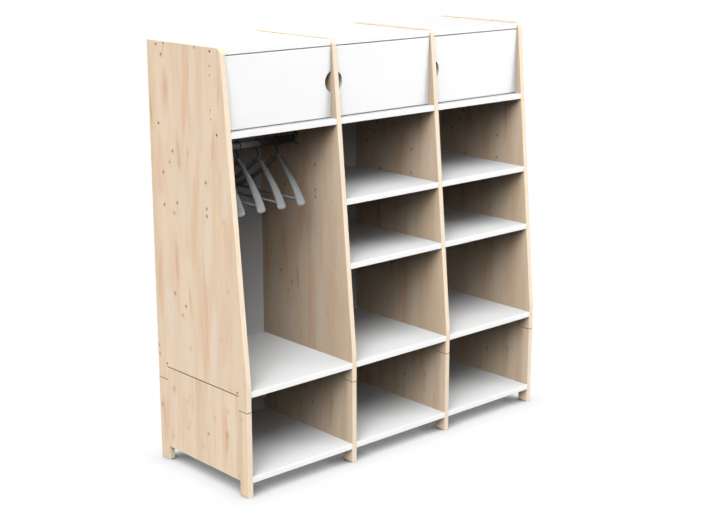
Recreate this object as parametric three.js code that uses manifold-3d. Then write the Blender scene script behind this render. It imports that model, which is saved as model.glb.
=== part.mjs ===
// Wardrobe of three equal bays: sloping spruce panels, white boards, three small inset doors
// on concealed hinges, and a hanging rail with four hangers in the left bay.
// Units are millimetres. X runs along the width, Y from front to back and Z up. The origin is
// on the floor, in the middle of the footprint.

import * as THREE from 'three';
import { mergeVertices } from 'three/addons/utils/BufferGeometryUtils.js';
import Module from 'manifold-3d';

const wasm = await Module();
wasm.setup();

// Carcass
const PANEL_THICKNESS = 21;
const BOARD_THICKNESS = 21;
const BACK_THICKNESS = 8;
const BAY_WIDTH = 472;
const BAY_COUNT = 3;
const DEPTH = 540;
const HEIGHT = 1580;
const BACK_REVEAL = 4;

// Side profile of the panels
const KINK_HEIGHT = 420;
const TOP_SETBACK = 108;
const TOP_CORNER_RADIUS = 22;
const FOOT_HEIGHT = 53;
const FRONT_FOOT = 48;
const BACK_FOOT = 56;
const NEST_HEIGHT = 320;
const NEST_CLEARANCE = 0.5;
const TONGUE_GAP = 2;
const INNER_CORNER_RADIUS = 3;
const OUTER_CORNER_RADIUS = 3.5;
const PANEL_CHAMFER = 1;
const BOARD_EDGE_RADIUS = 1.5;

// Undersides of the two shelves, clear height behind the doors, and the top board's step
const LOWER_SHELF_HEIGHT = 744;
const UPPER_SHELF_HEIGHT = 981;
const DOOR_BAY_HEIGHT = 259;
const TOP_REVEAL = 3;
const BACK_JOINT = 3;

// Screw bores in the outer faces of the two outer panels
const BORE_RADIUS = 3;
const BORE_DEPTH = 3;
const BOARD_SCREW_FRONT = 54;
const BOARD_SCREW_BACK = 56;

// Doors
const DOOR_SETBACK = 111;
const DOOR_THICKNESS = 21;
const DOOR_SIDE_GAP = 2;
const DOOR_END_GAP = 3;
const DOOR_CHAMFER = 1;
const NOTCH_RADIUS = 40;

// Door stops under the top boards
const STOP_WIDTH = 16;
const STOP_DEPTH = 26;
const STOP_DROP = 14;
const STOP_THICKNESS = 3;
const STOP_CLEARANCE = 0.3;
const STOP_INSET = 60;

// Concealed hinges
const HINGE_INSET = 51.5;
const CUP_RADIUS = 17.5;
const CUP_DEPTH = 11.7;
const CUP_WALL = 1.2;
const CUP_TAB = 5;
const CUP_CLEARANCE = 0.3;
const CUP_FACETS = 28;
const FLANGE_THICKNESS = 1.5;
const FLANGE_RADIUS = 20;
const FLANGE_LENGTH = 62;
const FLANGE_WIDTH = 16;
const FLANGE_SHIFT = 6;
const FLANGE_SCREW_SPACING = 48;
const PLATE_SETBACK = 37;
const PLATE_SCREW_SPACING = 32;
const PLATE_WING = 52;
const PLATE_WIDTH = 20;
const PLATE_THICKNESS = 3;
const ARM_WIDTH = 13;
const ARM_HEIGHT = 9;
const ARM_LOW = 6;
const ARM_BEND = 17;
const ARM_TAIL = 33;
const ARM_NOSE_CLEARANCE = 0.3;
const ARM_CHAMFER = 0.8;
const SCREW_HOLE_RADIUS = 2.3;

// Hanging rail and its sockets
const RAIL_HEIGHT = 30;
const RAIL_THICKNESS = 15;
const RAIL_WALL = 1.5;
const RAIL_DROP = 76;
const SOCKET_PLATE_THICKNESS = 3;
const SOCKET_PLATE_HEIGHT = 52;
const SOCKET_PLATE_WIDTH = 22;
const SOCKET_COLLAR_DEPTH = 13;
const SOCKET_WALL = 2.4;
const SOCKET_SCREW_SPACING = 42;
const RAIL_CLEARANCE = 0.3;

// Hangers
const HANGER_COUNT = 4;
const HANGER_FIRST = 128;
const HANGER_PITCH = 90.4;
const HANGER_HALF_WIDTH = 205;
const HANGER_DROP = 138.5;
const HANGER_BOW = 55.5;
const HANGER_NECK_DROP = 57.3;
const HANGER_BACK_CLEARANCE = 13;
const SHOULDER_NECK_WIDTH = 17;
const SHOULDER_END_WIDTH = 39;
const SHOULDER_DEPTH = 17;
const SHOULDER_TIP = 5;
const SHOULDER_WIDENING = 0.9;
const SHOULDER_SQUARENESS = 0.8;
const SHOULDER_FLAT = 0.1;
const SHOULDER_CROWN = 0.22;
const TIP_SHARE = 0.7;
const NECK_RADIUS = 8;
const NECK_WAIST = 5;
const NECK_RISE = 5;
const BAR_RADIUS = 4.5;
const BAR_INSET = 16;
const BAR_RISE = 2.5;
const WIRE_RADIUS = 2;
const HOOK_RADIUS = 20;
const HOOK_CLEARANCE = 0.3;
const HOOK_START_ANGLE = -50;
const HOOK_TIP_ANGLE = 215;
const HOOK_BEND_DROP = 34;
const HOOK_BEND_PULL = 8;
const SHANK_BORE_DEPTH = 20;
const SHANK_CLEARANCE = 0.3;

// Values that follow from the sizes above
const PITCH = BAY_WIDTH + PANEL_THICKNESS;
const WIDTH = BAY_COUNT * PITCH + PANEL_THICKNESS;
const UPPER_BASE = NEST_HEIGHT + FOOT_HEIGHT;
const TONGUE_HEIGHT = UPPER_BASE - TONGUE_GAP;
const BACK_FACE = DEPTH - BACK_REVEAL - BACK_THICKNESS;
const TOP_BOARD_HEIGHT = HEIGHT - TOP_REVEAL - BOARD_THICKNESS;
const DOOR_SHELF_HEIGHT = TOP_BOARD_HEIGHT - DOOR_BAY_HEIGHT - BOARD_THICKNESS;
const DOOR_WIDTH = BAY_WIDTH - 2 * DOOR_SIDE_GAP;
const DOOR_BOTTOM = DOOR_SHELF_HEIGHT + BOARD_THICKNESS + DOOR_END_GAP;
const DOOR_TOP = TOP_BOARD_HEIGHT - DOOR_END_GAP;
const DOOR_HEIGHT = DOOR_TOP - DOOR_BOTTOM;
const DOOR_CENTRE_HEIGHT = (DOOR_BOTTOM + DOOR_TOP) / 2;
const HINGE_OFFSET = DOOR_HEIGHT / 2 - HINGE_INSET;
const CUP_CENTRE = CUP_TAB + CUP_RADIUS;
const RAIL_CENTRE_HEIGHT = DOOR_SHELF_HEIGHT - RAIL_DROP;
const RAIL_SETBACK = BACK_FACE - HANGER_BACK_CLEARANCE - HANGER_HALF_WIDTH;
const HOOK_TOP = RAIL_CENTRE_HEIGHT + RAIL_HEIGHT / 2 + HOOK_CLEARANCE + WIRE_RADIUS;
const HOOK_CENTRE_HEIGHT = HOOK_TOP - HOOK_RADIUS;
const HANGER_NECK_HEIGHT = HOOK_CENTRE_HEIGHT - HANGER_NECK_DROP;
const NECK_TOP = HANGER_NECK_HEIGHT + SHOULDER_DEPTH / 2 + NECK_RISE;

const BAY_NAMES = ['left', 'middle', 'right'];
const PANEL_NAMES = ['left', 'divider_1', 'divider_2', 'right'];

// Materials: colour, roughness and metalness
const FINISHES = {
  spruce: [0xe6cfae, 0.62, 0],
  whiteBoard: [0xf6f6f4, 0.42, 0],
  whiteBack: [0xeeeeec, 0.55, 0],
  nickel: [0xb9bbbd, 0.3, 1],
  darkSteel: [0x55575a, 0.28, 1],
  socketPlastic: [0x3a3b3d, 0.5, 0],
  hangerPlastic: [0xd9dbdb, 0.38, 0],
};

// Everything is drawn from the lower front left corner of the footprint, and the group centres it.
const wardrobe = new THREE.Group();
wardrobe.position.set(-WIDTH / 2, -DEPTH / 2, 0);

function addPart(name, geometry, finish, [x, y, z]) {
  const [color, roughness, metalness] = FINISHES[finish];
  const material = new THREE.MeshStandardMaterial({ color, roughness, metalness });
  const part = new THREE.Mesh(geometry, material);
  part.name = name;
  part.position.set(x, y, z);
  wardrobe.add(part);
}

// Left face of a panel, and left and right inner faces of a bay
const panelLeft = (index) => index * PITCH;
const bayLeft = (index) => index * PITCH + PANEL_THICKNESS;
const bayRight = (index) => (index + 1) * PITCH;

// Distance of the panels' front edge behind the foremost plane, at a height
function frontEdge(height) {
  if (height <= KINK_HEIGHT) {
    return 0;
  }
  return TOP_SETBACK * (height - KINK_HEIGHT) / (HEIGHT - KINK_HEIGHT);
}

// Points along an arc, both ends included
function arcPoints(x, y, radius, from, to, steps) {
  const points = [];
  for (let step = 0; step <= steps; step += 1) {
    const angle = from + (to - from) * step / steps;
    points.push(new THREE.Vector2(x + radius * Math.cos(angle), y + radius * Math.sin(angle)));
  }
  return points;
}

// Closed outline through corners [x, y, radius]; a radius above zero rounds its corner
function roundedOutline(corners) {
  const points = corners.flatMap(([x, y, radius], index) => {
    const corner = new THREE.Vector2(x, y);
    if (radius === 0) {
      return [corner];
    }
    const before = corners[(index + corners.length - 1) % corners.length];
    const after = corners[(index + 1) % corners.length];
    const toBefore = new THREE.Vector2(before[0] - x, before[1] - y).normalize();
    const toAfter = new THREE.Vector2(after[0] - x, after[1] - y).normalize();
    const halfAngle = Math.acos(toBefore.dot(toAfter)) / 2;
    const inward = toBefore.clone().add(toAfter).normalize();
    const centre = corner.clone().addScaledVector(inward, radius / Math.sin(halfAngle));
    const towards = inward.negate().angle();
    const swing = (Math.PI / 2 - halfAngle) * Math.sign(toAfter.cross(toBefore));
    const steps = radius > 10 ? 10 : 3;
    return arcPoints(centre.x, centre.y, radius, towards - swing, towards + swing, steps);
  });
  return new THREE.Shape(points);
}

// Slot with semicircular ends, long along its second axis
function slotPoints(width, length, steps = 6) {
  const radius = width / 2;
  const centre = length / 2 - radius;
  return [
    ...arcPoints(0, centre, radius, 0, Math.PI, steps),
    ...arcPoints(0, -centre, radius, Math.PI, 2 * Math.PI, steps),
  ];
}

function roundHole(x, y, radius) {
  const hole = new THREE.Path();
  hole.absarc(x, y, radius, 0, 2 * Math.PI, true);
  return hole;
}

// Slab with chamfered rims, from 0 to its thickness along the drawing's normal
function slab(shape, thickness, chamfer = 0) {
  const geometry = new THREE.ExtrudeGeometry(shape, {
    depth: thickness - 2 * chamfer,
    bevelEnabled: chamfer > 0,
    bevelThickness: chamfer,
    bevelSize: chamfer,
    bevelOffset: -chamfer,
    bevelSegments: 1,
    curveSegments: 4,
  });
  geometry.translate(0, 0, chamfer);
  return geometry;
}

// Drawing plane (Y, Z), thickness along +X
function alongX(geometry) {
  const basis = new THREE.Matrix4().makeBasis(
    new THREE.Vector3(0, 1, 0),
    new THREE.Vector3(0, 0, 1),
    new THREE.Vector3(1, 0, 0),
  );
  return geometry.applyMatrix4(basis);
}

// Drawing plane (X, Z), thickness along -Y
function againstY(geometry) {
  const basis = new THREE.Matrix4().makeBasis(
    new THREE.Vector3(1, 0, 0),
    new THREE.Vector3(0, 0, 1),
    new THREE.Vector3(0, -1, 0),
  );
  return geometry.applyMatrix4(basis);
}

function toSolid(geometry) {
  const bare = geometry.clone();
  bare.deleteAttribute('normal');
  bare.deleteAttribute('uv');
  const merged = mergeVertices(bare, 1e-4);
  return new wasm.Manifold(new wasm.Mesh({
    numProp: 3,
    vertProperties: Float32Array.from(merged.attributes.position.array),
    triVerts: Uint32Array.from(merged.index.array),
  }));
}

function toGeometry(solid) {
  const mesh = solid.getMesh();
  const geometry = new THREE.BufferGeometry();
  geometry.setAttribute('position', new THREE.BufferAttribute(mesh.vertProperties, 3));
  geometry.setIndex(new THREE.BufferAttribute(mesh.triVerts, 1));
  geometry.computeVertexNormals();
  return geometry;
}

// A piece drawn for a door that is hung on its left, turned over for one hung on its right
function handed(geometry, hungRight) {
  return hungRight ? geometry.clone().rotateY(Math.PI) : geometry.clone();
}

// Side panels. Each is a lower and an upper piece with the same feet, and the upper feet stand
// in notches at the front and back of the lower piece's top edge.
function feetCorners(base) {
  const back = DEPTH - BACK_FOOT;
  return [
    [0, base, 0],
    [FRONT_FOOT, base, OUTER_CORNER_RADIUS],
    [FRONT_FOOT, base + FOOT_HEIGHT, INNER_CORNER_RADIUS],
    [back, base + FOOT_HEIGHT, INNER_CORNER_RADIUS],
    [back, base, OUTER_CORNER_RADIUS],
    [DEPTH, base, 0],
  ];
}

function basePanelOutline() {
  const front = FRONT_FOOT + NEST_CLEARANCE;
  const back = DEPTH - BACK_FOOT - NEST_CLEARANCE;
  return roundedOutline([
    ...feetCorners(0),
    [DEPTH, NEST_HEIGHT, 0],
    [back, NEST_HEIGHT, INNER_CORNER_RADIUS],
    [back, TONGUE_HEIGHT, OUTER_CORNER_RADIUS],
    [front, TONGUE_HEIGHT, OUTER_CORNER_RADIUS],
    [front, NEST_HEIGHT, INNER_CORNER_RADIUS],
    [0, NEST_HEIGHT, 0],
  ]);
}

function upperPanelOutline() {
  return roundedOutline([
    ...feetCorners(NEST_HEIGHT),
    [DEPTH, HEIGHT, OUTER_CORNER_RADIUS],
    [TOP_SETBACK, HEIGHT, TOP_CORNER_RADIUS],
    [0, KINK_HEIGHT, 0],
  ]);
}

// Bores [y, z] for the boards' screws and, above, for the plates of the door's hinges
function boardBores(undersides) {
  return undersides.flatMap((underside) => {
    const front = underside === TOP_BOARD_HEIGHT ? DOOR_SETBACK : frontEdge(underside + BOARD_THICKNESS);
    const height = underside + BOARD_THICKNESS / 2;
    return [[front + BOARD_SCREW_FRONT, height], [DEPTH - BOARD_SCREW_BACK, height]];
  });
}

function hingeBores() {
  const setback = DOOR_SETBACK + DOOR_THICKNESS + PLATE_SETBACK;
  return [-1, 1].flatMap((hinge) => [-1, 1].map((screw) => {
    const height = DOOR_CENTRE_HEIGHT + hinge * HINGE_OFFSET + screw * PLATE_SCREW_SPACING / 2;
    return [setback, height];
  }));
}

function boredPanel(geometry, face, bores) {
  const drills = bores.map(([y, z]) => {
    const drill = new THREE.CylinderGeometry(BORE_RADIUS, BORE_RADIUS, 2 * BORE_DEPTH, 12);
    return toSolid(drill.rotateZ(Math.PI / 2).translate(face, y, z));
  });
  return toGeometry(toSolid(geometry).subtract(wasm.Manifold.union(drills)));
}

function addPanels() {
  const leftBoards = [UPPER_BASE, DOOR_SHELF_HEIGHT, TOP_BOARD_HEIGHT];
  const rightBoards = [...leftBoards, LOWER_SHELF_HEIGHT, UPPER_SHELF_HEIGHT];
  const plain = () => alongX(slab(upperPanelOutline(), PANEL_THICKNESS, PANEL_CHAMFER));
  const uppers = [
    boredPanel(plain(), 0, [...boardBores(leftBoards), ...hingeBores()]),
    plain(),
    plain(),
    boredPanel(plain(), PANEL_THICKNESS, [...boardBores(rightBoards), ...hingeBores()]),
  ];
  PANEL_NAMES.forEach((name, index) => {
    const lower = alongX(slab(basePanelOutline(), PANEL_THICKNESS, PANEL_CHAMFER));
    addPart(`base_panel_${name}`, lower, 'spruce', [panelLeft(index), 0, 0]);
    addPart(`upper_panel_${name}`, uppers[index], 'spruce', [panelLeft(index), 0, 0]);
  });
}

// Boards run between the panels, flush with their front edges, and back on to the back panels.
function addBoard(name, bay, underside, front) {
  const top = underside + BOARD_THICKNESS;
  const outline = roundedOutline([
    [front, underside, BOARD_EDGE_RADIUS],
    [BACK_FACE, underside, 0],
    [BACK_FACE, top, 0],
    [front, top, BOARD_EDGE_RADIUS],
  ]);
  addPart(name, alongX(slab(outline, BAY_WIDTH)), 'whiteBoard', [bayLeft(bay), 0, 0]);
}

function addBoards() {
  const shelves = [
    { name: 'bottom_board', underside: FOOT_HEIGHT, bays: [0, 1, 2] },
    { name: 'joint_board', underside: UPPER_BASE, bays: [0, 1, 2] },
    { name: 'lower_shelf', underside: LOWER_SHELF_HEIGHT, bays: [1, 2] },
    { name: 'upper_shelf', underside: UPPER_SHELF_HEIGHT, bays: [1, 2] },
    { name: 'door_shelf', underside: DOOR_SHELF_HEIGHT, bays: [0, 1, 2] },
  ];
  shelves.forEach(({ name, underside, bays }) => {
    bays.forEach((bay) => {
      addBoard(`${name}_${BAY_NAMES[bay]}`, bay, underside, frontEdge(underside + BOARD_THICKNESS));
    });
  });
  BAY_NAMES.forEach((name, bay) => addBoard(`top_board_${name}`, bay, TOP_BOARD_HEIGHT, DOOR_SETBACK));
}

function addBackPanels() {
  const rows = [
    { name: 'base_back', from: FOOT_HEIGHT, to: UPPER_BASE - BACK_JOINT },
    { name: 'upper_back', from: UPPER_BASE, to: TOP_BOARD_HEIGHT + BOARD_THICKNESS },
  ];
  rows.forEach(({ name, from, to }) => {
    BAY_NAMES.forEach((bayName, bay) => {
      const panel = new THREE.BoxGeometry(BAY_WIDTH, BACK_THICKNESS, to - from);
      const centre = [bayLeft(bay) + BAY_WIDTH / 2, BACK_FACE + BACK_THICKNESS / 2, (from + to) / 2];
      addPart(`${name}_${bayName}`, panel, 'whiteBack', centre);
    });
  });
}

// Door drawn with its hinge side edge at x = 0, its front face at y = 0 and mid height at z = 0.
// The finger notch is part of a circle round the middle of the neighbouring panel.
function doorGeometry() {
  const half = DOOR_HEIGHT / 2;
  const notchCentre = DOOR_WIDTH + DOOR_SIDE_GAP + PANEL_THICKNESS / 2;
  const notchAngle = Math.acos((notchCentre - DOOR_WIDTH) / NOTCH_RADIUS);
  const shape = new THREE.Shape([
    new THREE.Vector2(0, -half),
    new THREE.Vector2(DOOR_WIDTH, -half),
    ...arcPoints(notchCentre, 0, NOTCH_RADIUS, Math.PI + notchAngle, Math.PI - notchAngle, 20),
    new THREE.Vector2(DOOR_WIDTH, half),
    new THREE.Vector2(0, half),
  ]);
  const leaf = againstY(slab(shape, DOOR_THICKNESS, DOOR_CHAMFER));
  leaf.translate(0, DOOR_THICKNESS, 0);
  let solid = toSolid(leaf);
  [-HINGE_OFFSET, HINGE_OFFSET].forEach((height) => {
    const radius = CUP_RADIUS + CUP_CLEARANCE;
    const depth = CUP_DEPTH + CUP_CLEARANCE;
    const bore = new THREE.CylinderGeometry(radius, radius, 2 * depth, CUP_FACETS);
    bore.translate(CUP_CENTRE, DOOR_THICKNESS, height);
    solid = solid.subtract(toSolid(bore));
  });
  return toGeometry(solid);
}

// Hinge cup: a round cup with a flat flange on the door's inner face. Its axis is the Y axis and
// the flange's seat is at y = 0.
function hingeCupGeometry() {
  const inner = CUP_RADIUS - CUP_WALL;
  const profile = [
    new THREE.Vector2(0, -CUP_DEPTH),
    new THREE.Vector2(CUP_RADIUS - CUP_WALL, -CUP_DEPTH),
    new THREE.Vector2(CUP_RADIUS, -CUP_DEPTH + CUP_WALL),
    new THREE.Vector2(CUP_RADIUS, FLANGE_THICKNESS / 2),
    new THREE.Vector2(inner, FLANGE_THICKNESS),
    new THREE.Vector2(inner, -CUP_DEPTH + 2 * CUP_WALL),
    new THREE.Vector2(inner - CUP_WALL, -CUP_DEPTH + CUP_WALL),
    new THREE.Vector2(0, -CUP_DEPTH + CUP_WALL),
  ];
  const cup = new THREE.LatheGeometry(profile, CUP_FACETS);
  const ears = new THREE.Shape(slotPoints(FLANGE_WIDTH, FLANGE_LENGTH));
  [-1, 1].forEach((side) => {
    ears.holes.push(roundHole(0, side * FLANGE_SCREW_SPACING / 2, SCREW_HOLE_RADIUS));
  });
  const earPlate = againstY(slab(ears, FLANGE_THICKNESS));
  earPlate.translate(FLANGE_SHIFT, FLANGE_THICKNESS, 0);
  const disc = new THREE.CylinderGeometry(FLANGE_RADIUS, FLANGE_RADIUS, FLANGE_THICKNESS, CUP_FACETS);
  disc.translate(0, FLANGE_THICKNESS / 2, 0);
  const opening = new THREE.CylinderGeometry(inner, inner, 4 * FLANGE_THICKNESS, CUP_FACETS);
  const flange = toSolid(earPlate).add(toSolid(disc)).subtract(toSolid(opening));
  return toGeometry(flange.add(toSolid(cup)));
}

// Mounting plate and cranked arm on the bay's side. The panel's face is x = 0, the door's inner
// face y = 0, and the arm's nose stands just clear of the hinge cup's flange.
function hingeArmGeometry() {
  const wings = new THREE.Shape(slotPoints(PLATE_WIDTH, PLATE_WING));
  [-1, 1].forEach((side) => {
    wings.holes.push(roundHole(0, side * PLATE_SCREW_SPACING / 2, SCREW_HOLE_RADIUS));
  });
  const plate = alongX(slab(wings, PLATE_THICKNESS));
  plate.translate(0, PLATE_SETBACK, 0);
  const nose = DOOR_SIDE_GAP + CUP_CENTRE;
  const noseFace = FLANGE_THICKNESS + ARM_NOSE_CLEARANCE;
  const high = ARM_LOW + ARM_HEIGHT;
  const foot = PLATE_SETBACK - PLATE_WIDTH / 2;
  const armOutline = roundedOutline([
    [0, foot, 0],
    [ARM_LOW, foot, 0],
    [ARM_LOW, noseFace, 0],
    [nose, noseFace, 2],
    [nose, ARM_BEND, 4],
    [high, foot + 6, 5],
    [high, PLATE_SETBACK + ARM_TAIL, 3],
    [ARM_LOW, PLATE_SETBACK + ARM_TAIL, 1],
    [ARM_LOW, PLATE_SETBACK + PLATE_WIDTH / 2, 0],
    [0, PLATE_SETBACK + PLATE_WIDTH / 2, 0],
  ]);
  const arm = slab(armOutline, ARM_WIDTH, ARM_CHAMFER);
  arm.translate(0, 0, -ARM_WIDTH / 2);
  return toGeometry(toSolid(plate).add(toSolid(arm)));
}

function addDoors() {
  const doors = [
    { bay: 0, hungRight: false },
    { bay: 1, hungRight: true },
    { bay: 2, hungRight: true },
  ];
  const leaf = doorGeometry();
  const cup = hingeCupGeometry();
  const arm = hingeArmGeometry();
  const stop = doorStopGeometry();
  doors.forEach(({ bay, hungRight }) => {
    const name = BAY_NAMES[bay];
    const inward = hungRight ? -1 : 1;
    const face = hungRight ? bayRight(bay) : bayLeft(bay);
    const back = DOOR_SETBACK + DOOR_THICKNESS;
    const hingeEdge = face + inward * DOOR_SIDE_GAP;
    const cupCentre = hingeEdge + inward * CUP_CENTRE;
    const corner = [hingeEdge, DOOR_SETBACK, DOOR_CENTRE_HEIGHT];
    const stopCentre = face + inward * (BAY_WIDTH - STOP_INSET);
    const stopPlace = [stopCentre, back + STOP_CLEARANCE, TOP_BOARD_HEIGHT];
    addPart(`door_stop_${name}`, stop.clone(), 'nickel', stopPlace);
    addPart(`door_${name}`, handed(leaf, hungRight), 'whiteBoard', corner);
    [['lower', -1], ['upper', 1]].forEach(([level, side]) => {
      const height = DOOR_CENTRE_HEIGHT + side * HINGE_OFFSET;
      addPart(`hinge_cup_${name}_${level}`, handed(cup, hungRight), 'nickel', [cupCentre, back, height]);
      addPart(`hinge_arm_${name}_${level}`, handed(arm, hungRight), 'nickel', [face, back, height]);
    });
  });
}

// Bracket that stops the door's free side: its tab hangs just behind the door's inner face.
function doorStopGeometry() {
  const outline = roundedOutline([
    [0, -STOP_DROP, 1],
    [STOP_THICKNESS, -STOP_DROP, 1],
    [STOP_THICKNESS, -STOP_THICKNESS, 2],
    [STOP_DEPTH, -STOP_THICKNESS, 1],
    [STOP_DEPTH, 0, 0],
    [0, 0, 0],
  ]);
  const bracket = alongX(slab(outline, STOP_WIDTH)).translate(-STOP_WIDTH / 2, 0, 0);
  const hole = new THREE.CylinderGeometry(SCREW_HOLE_RADIUS, SCREW_HOLE_RADIUS, 4 * STOP_THICKNESS, 12);
  hole.rotateX(Math.PI / 2).translate(0, (STOP_THICKNESS + STOP_DEPTH) / 2, 0);
  return toGeometry(toSolid(bracket).subtract(toSolid(hole)));
}

// Oval tube between two sockets. Each socket is a screwed plate with a collar round the tube.
function addRail() {
  const outer = new THREE.Shape(slotPoints(RAIL_THICKNESS, RAIL_HEIGHT));
  outer.holes.push(new THREE.Path(slotPoints(RAIL_THICKNESS - 2 * RAIL_WALL, RAIL_HEIGHT - 2 * RAIL_WALL)));
  const inset = SOCKET_PLATE_THICKNESS + RAIL_CLEARANCE;
  const tube = alongX(slab(outer, BAY_WIDTH - 2 * inset));
  addPart('hanging_rail', tube, 'darkSteel', [bayLeft(0) + inset, RAIL_SETBACK, RAIL_CENTRE_HEIGHT]);

  const plateOutline = new THREE.Shape(slotPoints(SOCKET_PLATE_WIDTH, SOCKET_PLATE_HEIGHT));
  [-1, 1].forEach((side) => {
    plateOutline.holes.push(roundHole(0, side * SOCKET_SCREW_SPACING / 2, SCREW_HOLE_RADIUS));
  });
  const plate = alongX(slab(plateOutline, SOCKET_PLATE_THICKNESS));
  const collarInner = RAIL_THICKNESS + 2 * RAIL_CLEARANCE;
  const collarOuter = collarInner + 2 * SOCKET_WALL;
  const grow = RAIL_HEIGHT - RAIL_THICKNESS;
  const collarOutline = new THREE.Shape(slotPoints(collarOuter, collarOuter + grow));
  collarOutline.holes.push(new THREE.Path(slotPoints(collarInner, collarInner + grow)));
  const collar = alongX(slab(collarOutline, SOCKET_COLLAR_DEPTH));
  collar.translate(SOCKET_PLATE_THICKNESS / 2, 0, 0);
  const socket = toGeometry(toSolid(plate).add(toSolid(collar)));
  [['left', bayLeft(0), false], ['right', bayRight(0), true]].forEach(([side, face, turned]) => {
    const place = [face, RAIL_SETBACK, RAIL_CENTRE_HEIGHT];
    addPart(`rail_socket_${side}`, handed(socket, turned), 'socketPlastic', place);
  });
}

// Centre line of a hanger's shoulders, from -1 at the front tip through the neck to 1 at the back.
// It leaves the neck level, falls steeply beside it and a little less towards the tips.
function shoulderPoint(share) {
  const reach = Math.abs(share);
  const level = SHOULDER_FLAT / 2;
  const fall = reach < SHOULDER_FLAT ? reach * reach / (2 * SHOULDER_FLAT) : reach - level;
  const slope = (1 + SHOULDER_CROWN) * fall / (1 - level);
  return new THREE.Vector3(
    -HANGER_BOW * share * share,
    HANGER_HALF_WIDTH * share,
    HANGER_NECK_HEIGHT - HANGER_DROP * (slope - SHOULDER_CROWN * share * share),
  );
}

// Shoulders widen from the neck to broad blunt tips. The sections stand across the hanger.
function shouldersGeometry() {
  const stations = [];
  const stationCount = 28;
  for (let index = 0; index <= stationCount; index += 1) {
    stations.push(-Math.cos(Math.PI * index / stationCount) * 0.5 + 0.5);
  }
  const sides = 10;
  const positions = [];
  stations.forEach((step) => {
    const share = 2 * step - 1;
    const reach = Math.abs(share);
    const fromTip = HANGER_HALF_WIDTH * (1 - reach);
    const inTip = Math.max(0, 1 - fromTip / SHOULDER_TIP);
    const round = Math.max(TIP_SHARE, Math.sqrt(1 - inTip * inTip));
    const growth = SHOULDER_END_WIDTH - SHOULDER_NECK_WIDTH;
    const width = SHOULDER_NECK_WIDTH + growth * Math.pow(reach, SHOULDER_WIDENING);
    const centre = shoulderPoint(share);
    for (let side = 0; side < sides; side += 1) {
      const angle = 2 * Math.PI * side / sides;
      const across = Math.sign(Math.cos(angle)) * Math.pow(Math.abs(Math.cos(angle)), SHOULDER_SQUARENESS);
      positions.push(
        centre.x + width / 2 * round * across,
        centre.y,
        centre.z + SHOULDER_DEPTH / 2 * round * Math.sin(angle),
      );
    }
  });
  const indices = [];
  for (let ring = 0; ring < stations.length - 1; ring += 1) {
    for (let side = 0; side < sides; side += 1) {
      const a = ring * sides + side;
      const b = ring * sides + (side + 1) % sides;
      indices.push(a, a + sides, b, b, a + sides, b + sides);
    }
  }
  const last = (stations.length - 1) * sides;
  for (let side = 1; side < sides - 1; side += 1) {
    indices.push(0, side, side + 1);
    indices.push(last, last + side + 1, last + side);
  }
  const geometry = new THREE.BufferGeometry();
  geometry.setAttribute('position', new THREE.Float32BufferAttribute(positions, 3));
  geometry.setIndex(indices);
  return geometry;
}

// Hanger body in its own frame: the hook's shank is the Z axis at x = 0 and y = 0.
function hangerBodyGeometry() {
  const barHalf = HANGER_HALF_WIDTH - BAR_INSET;
  const barEnd = shoulderPoint(barHalf / HANGER_HALF_WIDTH);
  const bar = new THREE.CylinderGeometry(BAR_RADIUS, BAR_RADIUS, 2 * barHalf, 12);
  bar.translate(barEnd.x, 0, barEnd.z + BAR_RISE);
  const neckHeight = NECK_TOP - HANGER_NECK_HEIGHT;
  const neck = new THREE.CylinderGeometry(NECK_WAIST, NECK_RADIUS, neckHeight, 16);
  neck.rotateX(Math.PI / 2);
  neck.translate(0, 0, NECK_TOP - neckHeight / 2);
  const boreRadius = WIRE_RADIUS + SHANK_CLEARANCE;
  const bore = new THREE.CylinderGeometry(boreRadius, boreRadius, 2 * SHANK_BORE_DEPTH, 16);
  bore.rotateX(Math.PI / 2);
  bore.translate(0, 0, NECK_TOP);
  const body = toSolid(shouldersGeometry()).add(toSolid(bar)).add(toSolid(neck));
  return toGeometry(body.subtract(toSolid(bore)));
}

// Wire hook: a straight shank in the hanger's neck, an easy bend, and a round hook over the rail
function hookGeometry() {
  const shankFoot = NECK_TOP - SHANK_BORE_DEPTH + SHANK_CLEARANCE;
  const startAngle = THREE.MathUtils.degToRad(HOOK_START_ANGLE);
  const tipAngle = THREE.MathUtils.degToRad(HOOK_TIP_ANGLE);
  const onHook = (angle) => new THREE.Vector3(
    0,
    HOOK_RADIUS * Math.cos(angle),
    HOOK_CENTRE_HEIGHT + HOOK_RADIUS * Math.sin(angle),
  );
  const bendTop = onHook(startAngle);
  const bendFoot = new THREE.Vector3(0, 0, HOOK_CENTRE_HEIGHT - HOOK_BEND_DROP);
  const tangent = new THREE.Vector3(0, -Math.sin(startAngle), Math.cos(startAngle));
  const bend = new THREE.CubicBezierCurve3(
    bendFoot,
    bendFoot.clone().add(new THREE.Vector3(0, 0, HOOK_BEND_PULL)),
    bendTop.clone().addScaledVector(tangent, -HOOK_BEND_PULL),
    bendTop,
  );
  const points = [
    new THREE.Vector3(0, 0, shankFoot),
    new THREE.Vector3(0, 0, (shankFoot + bendFoot.z) / 2),
    ...bend.getPoints(6),
  ];
  const arcSteps = 22;
  for (let step = 1; step <= arcSteps; step += 1) {
    points.push(onHook(startAngle + (tipAngle - startAngle) * step / arcSteps));
  }
  const section = new THREE.Shape();
  section.absarc(0, 0, WIRE_RADIUS, 0, 2 * Math.PI, false);
  return new THREE.ExtrudeGeometry(section, {
    steps: 36,
    curveSegments: 4,
    bevelEnabled: false,
    extrudePath: new THREE.CatmullRomCurve3(points),
  });
}

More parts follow.
